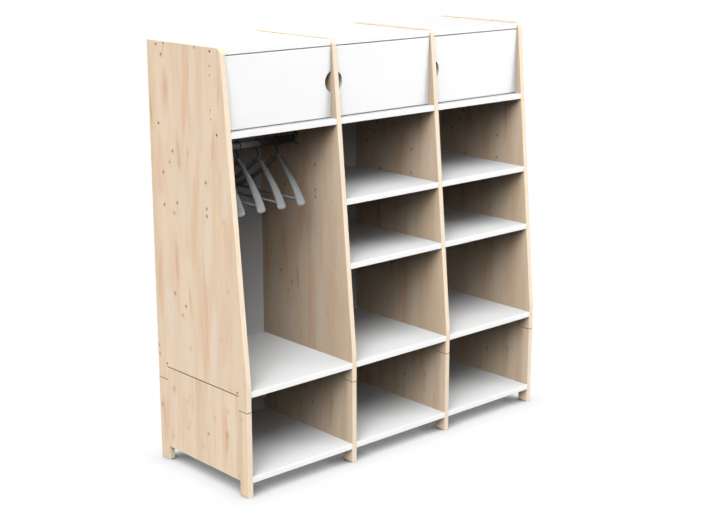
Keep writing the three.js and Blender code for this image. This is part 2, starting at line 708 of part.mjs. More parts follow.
function addHangers() {
  const body = hangerBodyGeometry();
  const hook = hookGeometry();
  for (let index = 0; index < HANGER_COUNT; index += 1) {
    const place = [HANGER_FIRST + index * HANGER_PITCH, RAIL_SETBACK, 0];
    addPart(`hanger_${index + 1}_body`, body.clone(), 'hangerPlastic', place);
    addPart(`hanger_${index + 1}_hook`, hook.clone(), 'darkSteel', place);
  }
}

addPanels();
addBoards();
addBackPanels();
addDoors();
addRail();
addHangers();

export default wardrobe;
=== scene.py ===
"""Dresses the wardrobe: spruce panels, white boards, doors, hinges, rail and hangers."""

import math

import bmesh
import bpy
from mathutils import Matrix, Vector


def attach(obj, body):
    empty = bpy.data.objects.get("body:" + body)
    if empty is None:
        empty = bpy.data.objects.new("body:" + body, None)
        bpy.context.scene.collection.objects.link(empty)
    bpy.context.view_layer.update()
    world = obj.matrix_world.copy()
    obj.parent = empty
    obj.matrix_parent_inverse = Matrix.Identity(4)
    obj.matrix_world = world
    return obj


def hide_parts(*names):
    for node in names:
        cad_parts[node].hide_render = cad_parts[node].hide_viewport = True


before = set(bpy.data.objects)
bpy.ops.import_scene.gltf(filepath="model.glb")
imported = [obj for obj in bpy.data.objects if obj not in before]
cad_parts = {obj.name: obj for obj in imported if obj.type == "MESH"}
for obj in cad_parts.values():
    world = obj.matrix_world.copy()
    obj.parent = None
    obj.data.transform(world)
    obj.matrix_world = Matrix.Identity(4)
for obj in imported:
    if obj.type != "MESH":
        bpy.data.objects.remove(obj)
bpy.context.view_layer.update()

# Sizes in metres, in the frame's axes: X to the right, Y to the back, Z up.
MM = 0.001
HALF_WIDTH = 0.75
HALF_DEPTH = 0.27
PITCH = 0.493
PANEL_HALF = 0.0105
FACE_LAYER = 0.0006
OUTER_LAYER = 0.0001
SEAT_LEVEL = 0.320
TONGUE_LEVEL = 0.372
FRONT_FOOT = 0.048
BACK_FOOT = 0.056
TONGUE_LINE = 0.0020
SEAT_LINE = 0.0016
# Inner and outer radius of the painted shade round the outer screws
COUNTERSINK_SHADE_REACH = (0.0038, 0.0050)

BAYS = ("left", "middle", "right")
PANELS = ("left", "divider_1", "divider_2", "right")

# Places and sizes of the fittings, in millimetres from the left face, the front plane and the floor
WIDTH = 1500
BORE_FLOOR = 3
BOARD_SCREW_FRONT = 54
BOARD_SCREW_BACK = 484
OUTER_JOINTS = ((0, 383.5), (81.7, 1286.5), (111, 1566.5))
SHELF_JOINTS = ((32.1, 754.5), (54.2, 991.5))
HINGE_HEIGHTS = (1351.5, 1501.5)
HINGE_SCREW_SETBACK = 169
HINGE_SCREW_STEP = 16
PLATE_THICKNESS = 3
ARM_SCREW_RISE = 15
ARM_SCREW_SETBACKS = (176, 192)
CUP_SCREW_INSET = 30.5
CUP_SCREW_SETBACK = 133.5
CUP_SCREW_STEP = 24
DOOR_FACES = (("left", 21, 1), ("middle", 986, -1), ("right", 1479, -1))
RAIL_SETBACK = 310
RAIL_HEIGHT = 1200
SOCKET_FACES = (("left", 24, 1), ("right", 490, -1))
SOCKET_SCREW_STEP = 21
STOP_SCREWS = tuple((x, 146.8, 1553) for x in (433, 574, 1067))
BACK_FACE = 536
NAIL_INSETS = (40, 236, 432)
NAIL_LEVELS = ((63.5, 383.5, 1286.5, 1566.5),) + ((63.5, 383.5, 754.5, 991.5, 1286.5, 1566.5),) * 2

# Hangers, in millimetres, with their necks and sections as the solids have them
HANGER_COUNT = 4
HANGER_FIRST = 128
HANGER_PITCH = 90.4
HANGER_REACH = 205
HANGER_DROP = 138.5
HANGER_BOW = 55.5
NECK_HEIGHT = 1140
NECK_WIDTH = 17
TIP_WIDTH = 39
SHOULDER_DEPTH = 17
SHOULDER_TIP = 5
SHOULDER_WIDENING = 0.9
SHOULDER_FLAT = 0.1
SHOULDER_CROWN = 0.22
TIP_SHARE = 0.7
BAR_INSET = 16
BAR_RISE = 2.5
BAR_RADIUS = 4.5
TIP_BEVEL = 1.5
SHOULDER_STEPS = 36
NECK_OUTLINE = (
    (9.5, -4), (8.0, 2), (6.4, 8), (5.6, 12), (5.1, 13), (4.4, 13.5), (2.3, 13.5), (2.3, -4),
)

# Knots by depth of colour, each as its distance from the front plane and its height, in millimetres
UPPER_KNOTS = {
    "dark": (
        (455, 1532), (402, 1196), (464, 1112), (207, 1111), (384, 1012), (205, 1019), (464, 993),
        (205, 993), (415, 670), (350, 635),
    ),
    "brown": (
        (437, 1573), (253, 1575), (422, 1154), (404, 971), (370, 596), (531, 446), (529, 413),
    ),
    "pale": ((307, 1203), (112, 986), (94, 745), (365, 1155), (330, 480), (140, 560)),
}
LOWER_KNOTS = {
    "brown": ((233, 178),),
    "soft": ((443, 294), (119, 206), (525, 212)),
    "pale": (
        (51, 68), (459, 104), (111, 298), (33, 290), (343, 296), (355, 272), (347, 186), (357, 166),
        (268, 120), (190, 250),
    ),
}

# Resin streaks: distance and height of the middle, half width, half length, lean in degrees, depth
UPPER_STREAKS = (
    (436, 1400, 24, 100, 3, 0.42),
    (368, 1200, 17, 110, -7, 0.42),
    (526, 1320, 9, 90, 0, 0.70),
    (395, 790, 16, 130, -4, 0.45),
    (318, 655, 11, 80, -6, 0.55),
    (510, 730, 10, 140, 3, 0.40),
    (118, 1445, 12, 110, 4, 0.28),
    (161, 1245, 9, 90, 4, 0.35),
    (440, 1545, 10, 40, 0, 0.30),
)
LOWER_STREAKS = (
    (460, 110, 9, 45, 0, 0.5),
    (330, 270, 8, 70, 0, 0.35),
    (118, 170, 14, 60, 0, 0.35),
    (512, 190, 7, 110, 0, 0.3),
)

# Broad warm and pale bands of the grain, given in the same way
UPPER_WARM = (
    (318, 1440, 24, 220, 2, 0.85),
    (274, 1010, 26, 260, 6, 0.75),
    (236, 610, 28, 290, 2, 0.90),
    (405, 760, 46, 190, -3, 0.55),
    (440, 1390, 34, 130, 2, 0.60),
    (500, 700, 24, 180, 2, 0.55),
    (118, 600, 34, 190, 5, 0.50),
    (150, 1240, 26, 130, 5, 0.55),
    (480, 1120, 34, 150, 0, 0.45),
    (90, 860, 24, 150, 5, 0.40),
)
UPPER_PALE = (
    (266, 1480, 26, 170, 2, 0.80),
    (205, 905, 26, 210, 4, 0.90),
    (182, 540, 26, 200, 3, 0.90),
    (443, 590, 26, 140, -2, 0.80),
    (352, 1010, 36, 170, 0, 0.60),
    (100, 1060, 16, 130, 6, 0.60),
    (352, 470, 50, 110, 0, 0.50),
    (205, 1250, 26, 170, 4, 0.45),
    (500, 950, 18, 120, 0, 0.40),
)
LOWER_WARM = ((500, 170, 18, 130, 0, 0.7), (380, 200, 20, 140, 0, 0.6), (130, 200, 22, 150, 0, 0.7))
LOWER_PALE = ((440, 200, 18, 130, 0, 0.7), (215, 170, 20, 150, 0, 0.6), (70, 220, 16, 120, 0, 0.5))

# Knots: their height is scaled by this, and their halo is so many times wider than the core
KNOT_SQUASH = 0.8
HALO_REACH = 2.6
KNOT_RAGGED = 0.005

# Grain: shift from stave to stave and bend of the figure in metres, rings as radians of noise
STAVE_SHIFT = 3.7
FIGURE_BEND = 0.03
RING_TURNS = 75.0

# How fully the sawn edges and the painted shadow of the joint lines cover the grain
EDGE_COVER = 0.9
JOINT_SHADOW_COVER = 0.8

# Finishes as linear colours
SPRUCE_LIGHT = (0.765, 0.617, 0.46, 1)
SPRUCE_DEEP = (0.665, 0.49, 0.335, 1)
SPRUCE_STREAK = (0.52, 0.315, 0.155, 1)
SPRUCE_WARM = (0.70, 0.475, 0.325, 1)
SPRUCE_PALE = (0.735, 0.615, 0.49, 1)
EDGE_LIGHT = (0.92, 0.78, 0.60, 1)
EDGE_DEEP = (0.89, 0.735, 0.545, 1)
KNOT_TONES = {
    "dark": (0.06, 0.028, 0.014, 1),
    "brown": (0.24, 0.115, 0.050, 1),
    "soft": (0.46, 0.265, 0.135, 1),
    "pale": (0.50, 0.31, 0.165, 1),
}
KNOT_CORES = {"dark": 0.0043, "brown": 0.0044, "soft": 0.008, "pale": 0.006}
KNOT_DEPTHS = {"dark": 0.88, "brown": 0.7, "soft": 0.55, "pale": 0.3}
# How strongly knots show on all faces but the two outer ones
INNER_KNOTS = 0.75
# Painted shadow in the gaps of the joint lines
JOINT_SHADOW_COLOUR = (0.055, 0.038, 0.024, 1)
# Painted shade in the countersinks round the outer screws
COUNTERSINK_SHADE_COLOUR = (0.030, 0.022, 0.016, 1)
BOARD_WHITE = (0.935, 0.935, 0.935, 1)
BOARD_SHADE = (0.92, 0.92, 0.917, 1)
BACK_WHITE = (0.75, 0.75, 0.75, 1)
BACK_SHADE = (0.72, 0.72, 0.717, 1)
DOOR_WHITE = (0.92, 0.92, 0.92, 1)
DOOR_SHADE = (0.905, 0.905, 0.903, 1)

# Metals and plastics, each as its light and its dark tone
NICKEL = ((0.70, 0.70, 0.69, 1), (0.60, 0.60, 0.59, 1))
RAIL_DARK = ((0.10, 0.10, 0.10, 1), (0.085, 0.085, 0.085, 1))
WIRE_DARK = ((0.14, 0.14, 0.145, 1), (0.10, 0.10, 0.105, 1))
SCREW_BLACK = ((0.05, 0.05, 0.05, 1), (0.03, 0.03, 0.03, 1))
SOCKET_GREY = ((0.38, 0.345, 0.30, 1), (0.35, 0.315, 0.275, 1))
HANGER_GREY = ((0.262, 0.266, 0.27, 1), (0.238, 0.242, 0.246, 1))

# Soft lights: name, turn and height in degrees, strength
SUNS = (
    ("low side light", -100, 8, 1.12),
    ("side light", -70, 32, 1.24),
    ("front light", -40, 32, 0.70),
    ("upper front light", -40, 56, 2.26),
    ("low right light", 50, 8, 1.74),
    ("right side light", 100, 5, 1.80),
    ("rear light", 160, 5, 2.00),
)
SUN_SPREAD = 40
WORLD_LEVEL = 0.090

# The photograph's standpoint: metres in the frame's axes, degrees and millimetres of lens
CAMERA_PLACE = (-3.5530, -3.9765, 2.0836)
CAMERA_TURN = 42.437
CAMERA_DIP = 14.714
CAMERA_ROLL = 0.116
CAMERA_LENS = 71.485
CAMERA_SENSOR = 36.0
CAMERA_SHIFT = (-0.02276, 0.01244)

# Reach of the floor and of its near and wide shadow, in metres
FLOOR_RADIUS = 9.0
NEAR_SHADOW = 0.09
WIDE_SHADOW = 0.5

# Tones of the shadow: slope and base of its deep and its faint part, their blend, and limits
DEEP_TONE = (1.93, -0.405)
FAINT_TONE = (0.4, 0.6)
TONE_BLEND = 0.12
WIDE_LEAST = 0.93
TONE_LEAST = 0.04


def at(x, y, z):
    """A place given in millimetres from the left face, the front plane and the floor."""
    return Vector((x * MM - HALF_WIDTH, y * MM - HALF_DEPTH, z * MM))


def meshed(bm, name):
    """The mesh of a finished bmesh, which is freed."""
    mesh = bpy.data.meshes.new(name)
    bm.to_mesh(mesh)
    bm.free()
    return mesh


def linked(name, data):
    """A new object with the data, linked into the scene."""
    thing = bpy.data.objects.new(name, data)
    bpy.context.scene.collection.objects.link(thing)
    return thing


class Finish:
    """A material on the principled shader, built up node by node."""

    def __init__(self, name, roughness, metallic=0.0):
        self.material = bpy.data.materials.new(name)
        self.material.use_nodes = True
        tree = self.material.node_tree
        self.nodes = tree.nodes
        self.links = tree.links
        self.shader = self.nodes["Principled BSDF"]
        self.shader.inputs["Roughness"].default_value = roughness
        self.shader.inputs["Metallic"].default_value = metallic
        self.place = self.nodes.new("ShaderNodeTexCoord").outputs["Object"]

    def add(self, kind, inputs, output=0, **settings):
        """A node with its settings; each input is a socket to link or a value to set."""
        node = self.nodes.new(kind)
        for key, value in settings.items():
            setattr(node, key, value)
        for key, value in inputs.items():
            if isinstance(value, bpy.types.NodeSocket):
                self.links.new(value, node.inputs[key])
            else:
                node.inputs[key].default_value = value
        return node.outputs[output]

    def math(self, operation, *values):
        """One arithmetic step over sockets or numbers."""
        return self.add("ShaderNodeMath", dict(enumerate(values)), operation=operation)

    def distance(self, inputs):
        """Distance between the points given as inputs 0 and 1."""
        return self.add("ShaderNodeVectorMath", inputs, output="Value", operation="DISTANCE")

    def scaled(self, source, scale):
        """The coordinates scaled along each axis."""
        return self.add("ShaderNodeMapping", {"Vector": source, "Scale": scale})

    def noise(self, source, scale, detail=2.0, roughness=0.5, distortion=0.0):
        """Soft noise, about 0.5, with so many spots per metre."""
        inputs = {"Vector": source, "Scale": scale, "Detail": detail}
        inputs |= {"Roughness": roughness, "Distortion": distortion}
        return self.add("ShaderNodeTexNoise", inputs)

    def span(self, value, low, high, to_low=0.0, to_high=1.0):
        """The value eased from one range into another."""
        inputs = {"Value": value, 1: low, 2: high, 3: to_low, 4: to_high}
        return self.add("ShaderNodeMapRange", inputs, interpolation_type="SMOOTHSTEP")

    def mixed(self, factor, first, second):
        """The first colour where the factor is 0, the second where it is 1."""
        inputs = {0: factor, 6: first, 7: second}
        return self.add("ShaderNodeMix", inputs, output=2, data_type="RGBA")

    def paint(self, colour):
        self.links.new(colour, self.shader.inputs["Base Color"])

    def rough(self, value):
        self.links.new(value, self.shader.inputs["Roughness"])

    def bump(self, height, strength, distance):
        inputs = {"Height": height, "Strength": strength, "Distance": distance}
        normal = self.add("ShaderNodeBump", inputs)
        self.links.new(normal, self.shader.inputs["Normal"])


def joined(finish, values, operation):
    """All the values taken together by one operation, such as their least or greatest."""
    total = values[0]
    for value in values[1:]:
        total = finish.math(operation, total, value)
    return total


def knot_distance(finish, flat, knots):
    """Distance to the nearest of the knots, which are a little taller than wide."""
    distances = []
    for along, height in knots:
        centre = (0, along * MM - HALF_DEPTH, height * MM * KNOT_SQUASH)
        distances.append(finish.distance({0: flat, 1: centre}))
    return joined(finish, distances, "MINIMUM")


def soft_shapes(finish, flat, shapes, full=0.15):
    """How deep a point lies in long soft ellipses, given by place, size, lean and depth."""
    depths = []
    for along, height, half_width, half_length, lean, depth in shapes:
        inputs = {"Vector": flat, "Location": (0, along * MM - HALF_DEPTH, height * MM)}
        inputs["Rotation"] = (math.radians(lean), 0, 0)
        inputs["Scale"] = (1, half_width * MM, half_length * MM)
        local = finish.add("ShaderNodeMapping", inputs, vector_type="TEXTURE")
        reach = finish.add("ShaderNodeVectorMath", {0: local}, output="Value", operation="LENGTH")
        depths.append(finish.span(reach, full, 1.0, depth, 0.0))
    return joined(finish, depths, "MAXIMUM")


def within(finish, value, centre, half):
    """1 where the value lies within half of the centre, else 0."""
    return finish.math("COMPARE", value, centre, half)


def painted_joint_shadow(wood):
    """Painted shadow: the dark line where the upper panel's feet and tongue meet the base panel,
    standing for the shade in the gap between them.
    """
    feet = FRONT_FOOT - HALF_DEPTH, HALF_DEPTH - BACK_FOOT
    middle, half = (feet[0] + feet[1]) / 2, (feet[1] - feet[0]) / 2
    between = within(wood, wood.across, middle, half)
    tongue = wood.math("MULTIPLY", between, within(wood, wood.upright, TONGUE_LEVEL, TONGUE_LINE))
    beside = wood.math("SUBTRACT", 1.0, between)
    seat = wood.math("MULTIPLY", beside, within(wood, wood.upright, SEAT_LEVEL, SEAT_LINE))
    return wood.math("MAXIMUM", tongue, seat)


def near_joints(wood, flat, joints):
    """1 within the painted shade round a screw at the two ends of each board, else 0."""
    distances = []
    for front, height in joints:
        for along in (front + BOARD_SCREW_FRONT, BOARD_SCREW_BACK):
            inputs = {0: flat, 1: at(0, along, height) * Vector((0, 1, 1))}
            distances.append(wood.distance(inputs))
    nearest = joined(wood, distances, "MINIMUM")
    return wood.span(nearest, *COUNTERSINK_SHADE_REACH, 1.0, 0.0)


def painted_countersink_shade(wood):
    """Painted shade: the dark countersunk rims round the boards' screws, on the two outer faces
    only, standing for the shade in their countersinks.
    """
    flat = wood.add("ShaderNodeCombineXYZ", {"Y": wood.across, "Z": wood.upright})
    to_right = wood.math("GREATER_THAN", wood.sideways, 0.0)
    shelves = wood.math("MULTIPLY", near_joints(wood, flat, SHELF_JOINTS), to_right)
    rims = wood.math("MAXIMUM", near_joints(wood, flat, OUTER_JOINTS), shelves)
    return wood.math("MULTIPLY", rims, wood.outer)


class Spruce(Finish):
    """Lacquered spruce of glued staves, its grain upright, with paler sawn edges."""

    def __init__(self, name, stave_width):
        super().__init__(name, 0.5)
        parts = self.nodes.new("ShaderNodeSeparateXYZ")
        self.links.new(self.place, parts.inputs[0])
        self.sideways, self.across, self.upright = parts.outputs
        beyond = self.math("ABSOLUTE", self.sideways)
        self.outer = self.math("GREATER_THAN", beyond, HALF_WIDTH - OUTER_LAYER)
        stave = self.math("DIVIDE", self.math("ADD", self.across, 1.0), stave_width)
        stave = self.math("FLOOR", stave)
        self.tone = self.add("ShaderNodeTexWhiteNoise", {"W": stave}, noise_dimensions="1D")
        shift = self.math("MULTIPLY", self.tone, STAVE_SHIFT)
        inputs = {"X": self.sideways, "Y": self.math("ADD", self.across, shift)}
        inputs["Z"] = self.math("ADD", self.upright, shift)
        board = self.add("ShaderNodeCombineXYZ", inputs)
        self.fibre = self.noise(self.scaled(board, (1, 1, 0.03)), 420.0, detail=3.0)
        figure = self.scaled(board, (1, 1, 0.14))
        figure = self.noise(figure, 9.0, detail=1.0, distortion=0.3)
        self.rings = self.math("SINE", self.math("MULTIPLY", figure, RING_TURNS))
        self.cloud = self.noise(self.scaled(board, (1, 1, 0.16)), 16.0, detail=2.0)
        self.lines = self.noise(self.scaled(board, (1, 1, 0.05)), 75.0, detail=3.0)

    def ground(self, contrast):
        """The tones of the staves with their clouds, rings and fibre."""
        lift = (0.35 - contrast) / 2
        clouds = self.span(self.cloud, 0.3, 0.72, lift, lift + 0.5)
        depth = self.math("ADD", self.math("MULTIPLY", self.tone, contrast), clouds)
        depth = self.math("ADD", depth, self.math("MULTIPLY", self.rings, 0.09))
        depth = self.math("ADD", depth, self.span(self.fibre, 0.35, 0.7, -0.10, 0.12))
        return self.mixed(depth, SPRUCE_LIGHT, SPRUCE_DEEP)

    def figured(self, colour, shapes, contrast):
        """Adds the warm and pale bands, the pale early wood and the resin streaks."""
        streaks, warm, pale = shapes
        bend = self.noise(self.scaled(self.place, (1, 1, 0.3)), 14.0, detail=2.0)
        bend = self.math("MULTIPLY", self.math("SUBTRACT", bend, 0.5), FIGURE_BEND)
        inputs = {"Y": self.math("ADD", self.across, bend), "Z": self.upright}
        flat = self.add("ShaderNodeCombineXYZ", inputs)
        veins = self.span(self.lines, 0.30, 0.62, 0.45, 1.1)
        warmth = self.math("MULTIPLY", soft_shapes(self, flat, warm, 0.5), veins)
        colour = self.mixed(warmth, colour, SPRUCE_WARM)
        colour = self.mixed(soft_shapes(self, flat, pale, 0.5), colour, SPRUCE_PALE)
        streak = self.math("MULTIPLY", soft_shapes(self, flat, streaks), veins)
        early = self.span(self.lines, 0.46, 0.30, 0.0, contrast)
        colour = self.mixed(early, colour, SPRUCE_PALE)
        late = self.span(self.lines, 0.58, 0.80, 0.0, 0.15 + 0.3 * contrast)
        return self.mixed(self.math("ADD", streak, late), colour, SPRUCE_STREAK)

    def knotted(self, colour, knots):
        """Adds the knots, each a heart in a soft halo with a ragged outline."""
        inputs = {0: self.place, 1: (0, 1, KNOT_SQUASH)}
        squashed = self.add("ShaderNodeVectorMath", inputs, operation="MULTIPLY")
        wander = self.noise(squashed, 190.0)
        ragged = self.math("MULTIPLY", self.math("SUBTRACT", wander, 0.5), KNOT_RAGGED)
        share = self.math("ADD", INNER_KNOTS, self.math("MULTIPLY", self.outer, 1 - INNER_KNOTS))
        for kind, places in knots.items():
            near = self.math("ADD", knot_distance(self, squashed, places), ragged)
            core, depth = KNOT_CORES[kind], KNOT_DEPTHS[kind]
            halo = self.span(near, core, HALO_REACH * core, 0.5 * depth, 0.0)
            colour = self.mixed(self.math("MULTIPLY", halo, share), colour, SPRUCE_STREAK)
            heart = self.span(near, 0.35 * core, 1.15 * core, depth, 0.0)
            colour = self.mixed(self.math("MULTIPLY", heart, share), colour, KNOT_TONES[kind])
        return colour

    def edged(self, colour):
        """Covers all but the panels' side faces with the paler tone of sawn edges."""
        inside = self.math("FLOORED_MODULO", self.math("ADD", self.sideways, HALF_WIDTH), PITCH)
        skin = within(self, inside, PANEL_HALF, PANEL_HALF - FACE_LAYER)
        sawn = self.mixed(self.span(self.lines, 0.3, 0.7), EDGE_LIGHT, EDGE_DEEP)
        sawn = self.mixed(self.span(self.fibre, 0.3, 0.75, 0.0, 0.22), sawn, SPRUCE_DEEP)
        return self.mixed(self.math("MULTIPLY", skin, EDGE_COVER), colour, sawn)


def spruce(name, knots, shapes, stave_width, contrast):
    """The finish of one kind of panel, with the painted shadow of its joint line and the painted
    shade round its screws.
    """
    wood = Spruce(name, stave_width)
    colour = wood.figured(wood.ground(contrast), shapes, contrast)
    colour = wood.edged(wood.knotted(colour, knots))
    # Painted shadow in the gaps where the panels meet
    joint_shadow = wood.math("MULTIPLY", painted_joint_shadow(wood), JOINT_SHADOW_COVER)
    colour = wood.mixed(joint_shadow, colour, JOINT_SHADOW_COLOUR)
    # Painted shade in the countersinks round the screws
    wood.paint(wood.mixed(painted_countersink_shade(wood), colour, COUNTERSINK_SHADE_COLOUR))
    wood.rough(wood.span(wood.fibre, 0.3, 0.7, 0.44, 0.58))
    relief = wood.math("ADD", wood.fibre, wood.math("MULTIPLY", wood.rings, 0.3))
    wood.bump(relief, 0.12, 0.0004)
    return wood.material


def melamine(name, light, shade, roughness, grain):
    """White facing with the fine pearl of a pressed board."""
    finish = Finish(name, roughness)
    cloud = finish.noise(finish.place, 3.0)
    finish.paint(finish.mixed(finish.span(cloud, 0.35, 0.65), light, shade))
    pearl = finish.noise(finish.place, grain, detail=3.0, roughness=0.6)
    finish.rough(finish.span(pearl, 0.3, 0.7, roughness - 0.05, roughness + 0.05))
    finish.bump(pearl, 0.08, 0.0002)
    return finish.material


def drawn_metal(name, light, dark, roughness, stretch, metallic=1.0):
    """Metal with the fine lines of drawing or brushing along its length."""
    finish = Finish(name, roughness, metallic)
    lines = finish.noise(finish.scaled(finish.place, stretch), 900.0, detail=3.0)
    finish.paint(finish.mixed(finish.span(lines, 0.3, 0.7), dark, light))
    finish.rough(finish.span(lines, 0.3, 0.7, roughness - 0.06, roughness + 0.08))
    finish.bump(lines, 0.06, 0.0001)
    return finish.material


def moulded(name, light, shade, roughness):
    """Moulded plastic with a fine satin grain."""
    finish = Finish(name, roughness)
    cloud = finish.noise(finish.place, 14.0)
    finish.paint(finish.mixed(finish.span(cloud, 0.35, 0.65), light, shade))
    grain = finish.noise(finish.place, 2200.0, detail=2.0)
    finish.rough(finish.span(grain, 0.3, 0.7, roughness - 0.05, roughness + 0.06))
    finish.bump(grain, 0.1, 0.0001)
    return finish.material


def dress(node, material):
    """Gives a CAD node its one material."""
    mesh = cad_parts[node].data
    mesh.materials.clear()
    mesh.materials.append(material)


def dress_wood():
    """Spruce for the panels, with wider and calmer staves in the upper ones."""
    shapes = UPPER_STREAKS, UPPER_WARM, UPPER_PALE
    upper = spruce("spruce upper panels", UPPER_KNOTS, shapes, stave_width=0.094, contrast=0.35)
    shapes = LOWER_STREAKS, LOWER_WARM, LOWER_PALE
    lower = spruce("spruce base panels", LOWER_KNOTS, shapes, stave_width=0.040, contrast=0.75)
    for name in PANELS:
        dress(f"upper_panel_{name}", upper)
        dress(f"base_panel_{name}", lower)


def dress_boards():
    """Whites for the boards, the backs and the doors."""
    board = melamine("white melamine", BOARD_WHITE, BOARD_SHADE, roughness=0.42, grain=900.0)
    back = melamine("white back board", BACK_WHITE, BACK_SHADE, roughness=0.55, grain=400.0)
    door = melamine("white door facing", DOOR_WHITE, DOOR_SHADE, roughness=0.38, grain=900.0)
    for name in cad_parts:
        if name.startswith(("base_back", "upper_back")):
            dress(name, back)
        elif "board" in name or "shelf" in name:
            dress(name, board)
    for bay in BAYS:
        dress(f"door_{bay}", door)


def dress_fittings():
    """Metals and plastics for the fittings, and the small pieces that only the scene has."""
    nickel = drawn_metal("nickel", *NICKEL, 0.34, stretch=(1, 1, 0.05), metallic=0.45)
    rail = drawn_metal("dark rail", *RAIL_DARK, 0.34, stretch=(0.02, 1, 1), metallic=0.0)
    wire = drawn_metal("dark wire", *WIRE_DARK, 0.3, stretch=(1, 1, 0.1))
    socket = moulded("socket plastic", *SOCKET_GREY, 0.5)
    hanger = moulded("hanger plastic", *HANGER_GREY, 0.42)
    black = drawn_metal("black screws", *SCREW_BLACK, 0.4, stretch=(1, 1, 1))
    dress("hanging_rail", rail)
    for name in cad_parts:
        if name.startswith(("hinge_", "door_stop")):
            dress(name, nickel)
        elif name.startswith("rail_socket"):
            dress(name, socket)
        elif name.endswith("_hook"):
            dress(name, wire)
        elif name.startswith("hanger") and name.endswith("_body"):
            dress(name, hanger)
    add_outer_screws(black)
    add_hinge_screws(nickel)
    add_small_fixings(nickel, black)
    add_hangers(hanger)


def solid(name, bm, material, body, crease=35):
    """Turns a finished bmesh into a piece that moves with its body."""
    bmesh.ops.remove_doubles(bm, verts=bm.verts, dist=1e-6)
    bmesh.ops.recalc_face_normals(bm, faces=bm.faces)
    mesh = meshed(bm, name)
    mesh.polygons.foreach_set("use_smooth", [True] * len(mesh.polygons))
    mesh.set_sharp_from_angle(angle=math.radians(crease))
    mesh.materials.append(material)
    piece = linked(name, mesh)
    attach(piece, body)
    return piece


def hexagon(turn):
    """Reach of a hexagonal drive at a turn round the screw."""
    return math.cos(math.pi / 6) / math.cos(turn % (math.pi / 3) - math.pi / 6)


def cross(turn):
    """Reach of a cross drive at a turn round the screw."""
    return 1.0 if abs(math.sin(2 * turn)) < 0.1 else 0.4


def screw_head(radius, height, drive):
    """A screw head standing on the origin, its rim rounded and its drive sunk in."""
    bm = bmesh.new()
    bmesh.ops.create_cone(
        bm, cap_ends=True, segments=24, radius1=radius * MM, radius2=radius * MM, depth=height * MM
    )
    bmesh.ops.translate(bm, verts=bm.verts, vec=(0, 0, height * MM / 2))
    top = max(bm.faces, key=lambda face: face.calc_center_median().z)
    bmesh.ops.bevel(
        bm, geom=list(top.edges), offset=0.4 * height * MM, affect="EDGES",
        segments=3, profile=0.5, material=-1,
    )
    top = max(bm.faces, key=lambda face: face.calc_center_median().z)
    bmesh.ops.inset_region(bm, faces=[top], thickness=0.2 * radius * MM)
    for vert in top.verts:
        reach = 0.55 * radius * MM * drive(math.atan2(vert.co.y, vert.co.x))
        vert.co.xy = vert.co.xy.normalized() * reach
    bmesh.ops.inset_region(bm, faces=[top], thickness=0.02 * radius * MM, depth=-0.55 * height * MM)
    return meshed(bm, "screw head")


def nail_head():
    """A flat nail head with a softened rim."""
    bm = bmesh.new()
    bmesh.ops.create_cone(
        bm, cap_ends=True, segments=20, radius1=3 * MM, radius2=2.7 * MM, depth=0.8 * MM
    )
    bmesh.ops.translate(bm, verts=bm.verts, vec=(0, 0, 0.4 * MM))
    rim = [edge for edge in bm.edges if all(vert.co.z > 0.7 * MM for vert in edge.verts)]
    bmesh.ops.bevel(
        bm, geom=rim, offset=0.25 * MM, affect="EDGES", segments=2, profile=0.5, material=-1
    )
    return meshed(bm, "nail head")


def add_heads(name, head, places, axis, material, body):
    """One piece with a copy of the head at each place, standing along the axis."""
    bm = bmesh.new()
    turn = Vector(axis).to_track_quat("Z", "Y").to_matrix().to_4x4()
    for place in places:
        before = len(bm.verts)
        bm.from_mesh(head)
        bm.verts.ensure_lookup_table()
        move = Matrix.Translation(at(*place)) @ turn
        bmesh.ops.transform(bm, matrix=move, verts=bm.verts[before:])
    solid(name, bm, material, body)


def add_outer_screws(black):
    """The screws that show on the two outer faces, each in its bore."""
    head = screw_head(radius=2.8, height=2.0, drive=hexagon)
    steps = (-HINGE_SCREW_STEP, HINGE_SCREW_STEP)
    hinges = [(HINGE_SCREW_SETBACK, level + step) for level in HINGE_HEIGHTS for step in steps]
    for name, x, axis, joints in (
        ("left", BORE_FLOOR, (-1, 0, 0), OUTER_JOINTS),
        ("right", WIDTH - BORE_FLOOR, (1, 0, 0), OUTER_JOINTS + SHELF_JOINTS),
    ):
        boards = []
        for front, z in joints:
            boards += [(front + BOARD_SCREW_FRONT, z), (BOARD_SCREW_BACK, z)]
        places = [(x, y, z) for y, z in boards + hinges]
        add_heads(f"panel_screws_{name}", head, places, axis, black, "carcass")


def add_hinge_screws(nickel):
    """The screws of the hinge plates, arms and cups, which show when a door is open."""
    plate_head = screw_head(radius=4, height=1.8, drive=cross)
    arm_head = screw_head(radius=3, height=1.2, drive=cross)
    cup_head = screw_head(radius=3.5, height=1.4, drive=cross)
    for bay, face, inward in DOOR_FACES:
        axis = (inward, 0, 0)
        plate, arm, cup = [], [], []
        for level in HINGE_HEIGHTS:
            for side in (-1, 1):
                x, z = face + PLATE_THICKNESS * inward, level + side * HINGE_SCREW_STEP
                plate.append((x, HINGE_SCREW_SETBACK, z))
                x, z = face + CUP_SCREW_INSET * inward, level + side * CUP_SCREW_STEP
                cup.append((x, CUP_SCREW_SETBACK, z))
            arm += [(face + ARM_SCREW_RISE * inward, y, level) for y in ARM_SCREW_SETBACKS]
        add_heads(f"hinge_plate_screws_{bay}", plate_head, plate, axis, nickel, "carcass")
        add_heads(f"hinge_arm_screws_{bay}", arm_head, arm, axis, nickel, "carcass")
        add_heads(f"hinge_cup_screws_{bay}", cup_head, cup, (0, 1, 0), nickel, f"door_{bay}")


